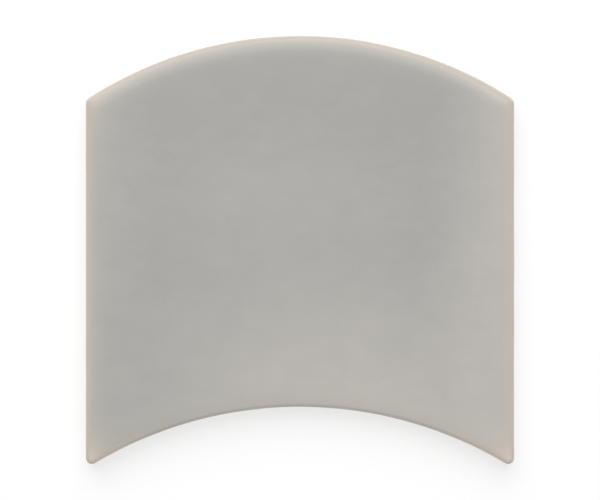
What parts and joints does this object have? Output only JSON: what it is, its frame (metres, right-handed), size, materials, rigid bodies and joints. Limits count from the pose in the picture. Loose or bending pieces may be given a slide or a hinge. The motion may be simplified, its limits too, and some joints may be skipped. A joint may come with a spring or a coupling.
{
  "type": "wave wall tile",
  "caption": "Glazed ceramic wall tile with a crowned top edge and a matching hollow bottom edge, laid in nesting columns to make a wave.",
  "frame": {"origin": "middle of the tile's square format, on the plane of its back", "axes": "+Z out of the glazed face, +Y towards the crowned edge, +X across the tile"},
  "size_m": [0.12, 0.12, 0.009],
  "materials": {
    "glazed_tile": "glossy grey glaze over a pale fired body"
  },
  "bodies": {
    "root": {"wave_tile": "glazed_tile"}
  },
  "joints": []
}
